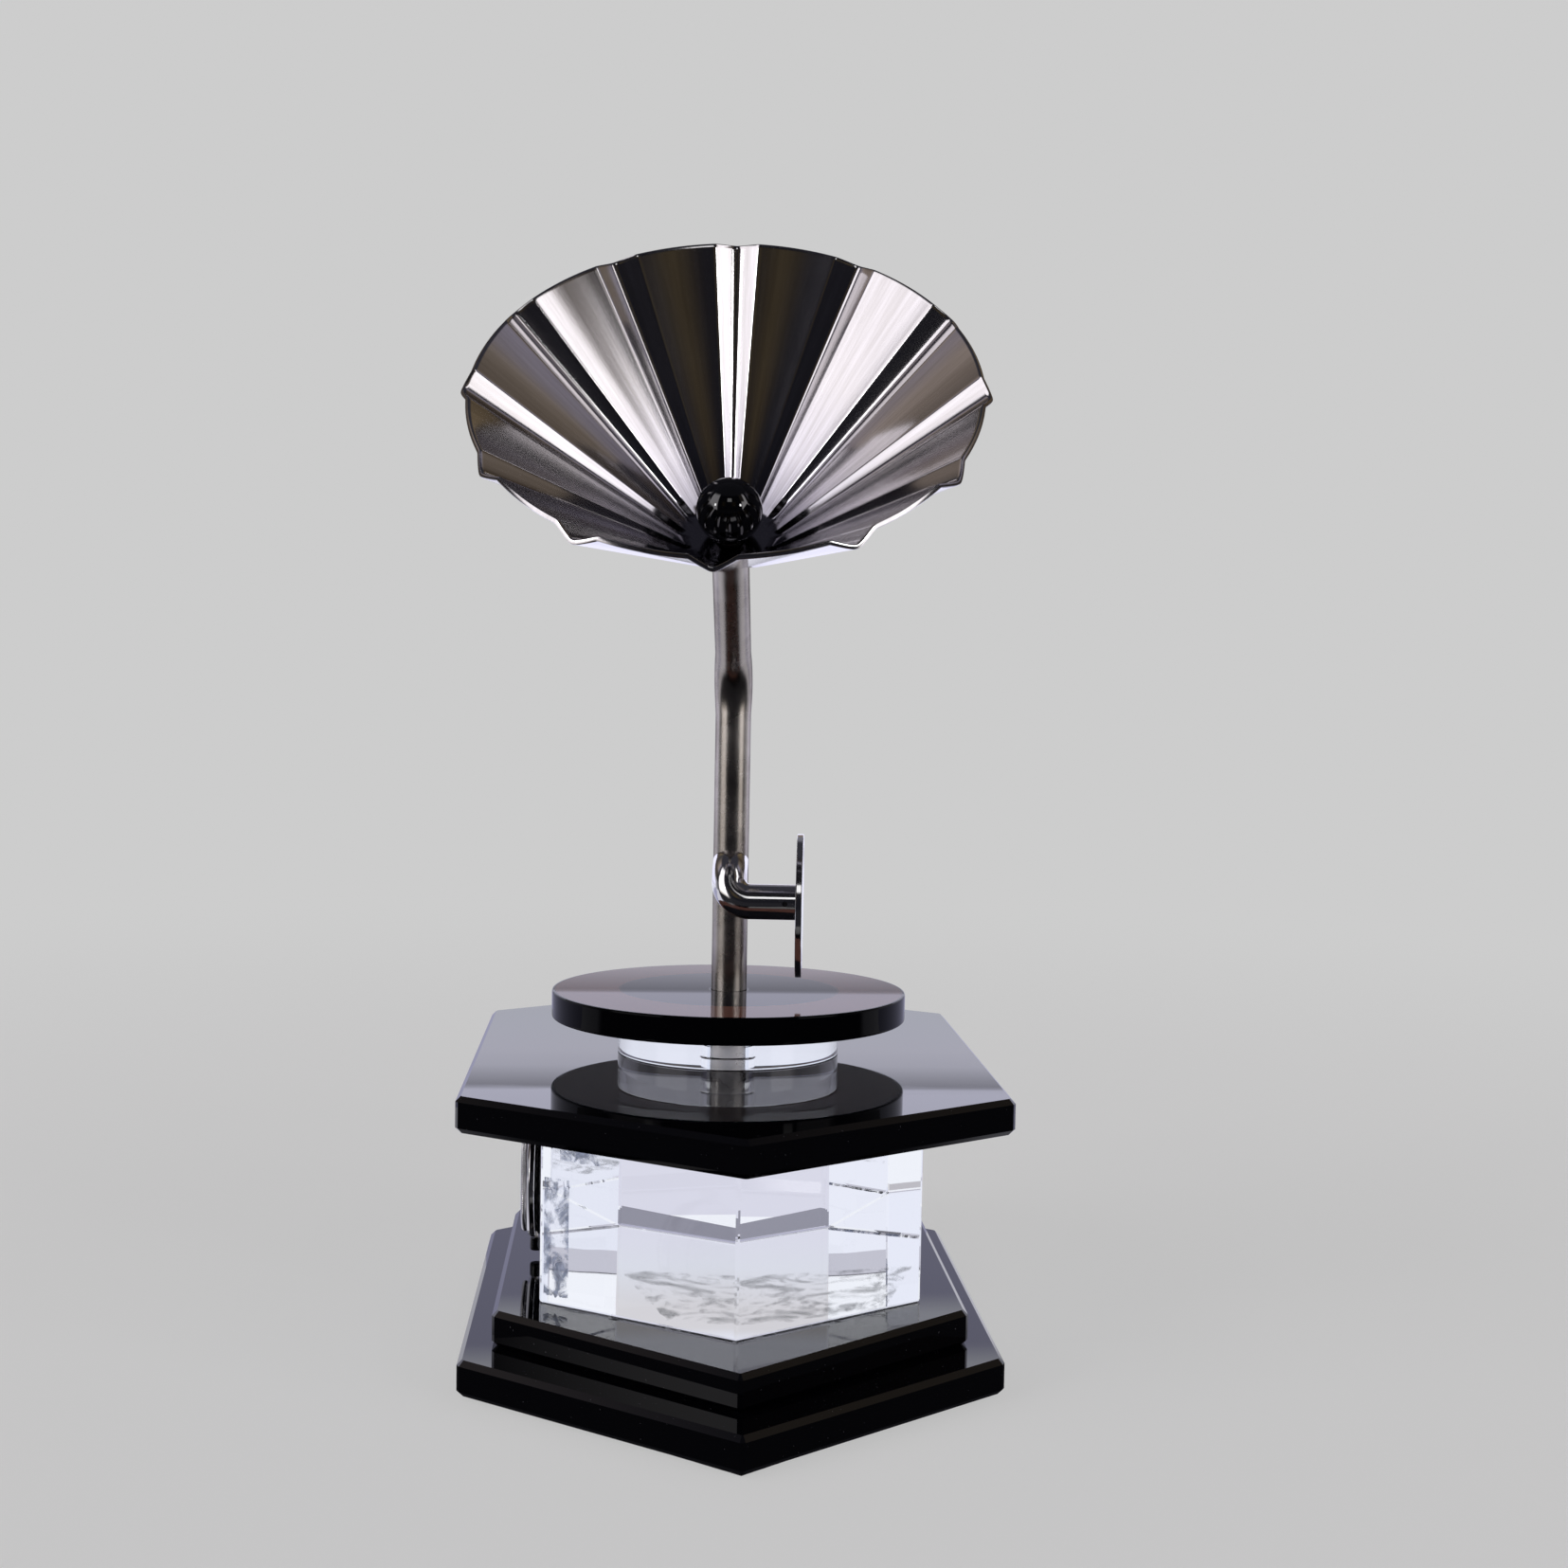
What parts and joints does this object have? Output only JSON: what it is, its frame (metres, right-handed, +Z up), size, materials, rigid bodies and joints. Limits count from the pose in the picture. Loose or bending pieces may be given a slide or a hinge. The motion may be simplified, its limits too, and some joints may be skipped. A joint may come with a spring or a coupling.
{
  "type": "crystal desk gramophone",
  "caption": "Glass desk ornament shaped like a gramophone: black hexagonal plates, a clear block with a side clock, a record, and a pleated metal horn on a swivelling tube.",
  "frame": {"origin": "middle of the underside of the felt, under the horn tube's axis", "axes": "+Z up; the horn faces -Y; the clock faces -X and the sound box is on +X"},
  "size_m": [0.1148, 0.1912, 0.2414],
  "materials": {
    "felt": "short black nap",
    "black_glass": "polished black crystal glass",
    "clear_glass": "polished clear crystal glass",
    "smoked_glass": "polished smoked black glass",
    "satin_steel": "satin nickel plate",
    "brushed_horn": "brushed along the radius, clear lacquered",
    "bright_chrome": "polished",
    "dark_steel": "blackened",
    "black_ball": "high gloss",
    "seat_rubber": "matte",
    "foam_tape": "foam with adhesive on both faces",
    "black_plastic": "high gloss",
    "movement_plastic": "moulded",
    "dial_white": "satin",
    "hand_black": "satin",
    "lens_glass": "polished"
  },
  "bodies": {
    "stand": {"base_felt": "felt", "base_plate": "black_glass", "step_plate": "black_glass", "crystal_block": "clear_glass", "deck_plate": "black_glass", "seat_disc": "seat_rubber", "record_drum": "clear_glass", "record_disc": "smoked_glass", "clock_tape": "foam_tape", "clock_case": "black_plastic", "clock_movement": "movement_plastic", "clock_battery": "satin_steel", "clock_dial": "dial_white", "hour_marks": "hand_black", "clock_bezel": "bright_chrome", "bezel_rope": "bright_chrome", "clock_lens": "lens_glass"},
    "horn": {"horn_tube": "satin_steel", "tube_plug": "satin_steel", "horn_flange": "satin_steel", "horn_bell": "brushed_horn", "throat_washer": "seat_rubber", "throat_ball": "black_ball", "ball_stud": "satin_steel", "tonearm": "bright_chrome", "sound_box_spigot": "bright_chrome", "sound_box_disc": "bright_chrome", "sound_box_screw": "dark_steel"},
    "minute_hand": {"minute_hand": "hand_black"},
    "hour_hand": {"hour_hand": "hand_black"},
    "crown": {"clock_crown": "black_plastic", "crown_stem": "satin_steel"}
  },
  "joints": [
    {"name": "horn_swivel", "type": "hinge", "parent": "stand", "child": "horn", "pos_m": [0, 0, 0.0635], "axis": [0, 0, 1], "continuous": true},
    {"name": "minute_turn", "type": "hinge", "parent": "stand", "child": "minute_hand", "pos_m": [-0.0405, 0, 0.0345], "axis": [1, 0, 0], "continuous": true},
    {"name": "hour_turn", "type": "hinge", "parent": "stand", "child": "hour_hand", "pos_m": [-0.0405, 0, 0.0345], "axis": [1, 0, 0], "continuous": true},
    {"name": "crown_turn", "type": "hinge", "parent": "stand", "child": "crown", "pos_m": [-0.04285, 0, 0.0345], "axis": [0, 0, 1], "continuous": true}
  ],
  "couplings": [
    {"joint": "hour_turn", "follows": "minute_turn", "ratio": 0.083333}
  ]
}
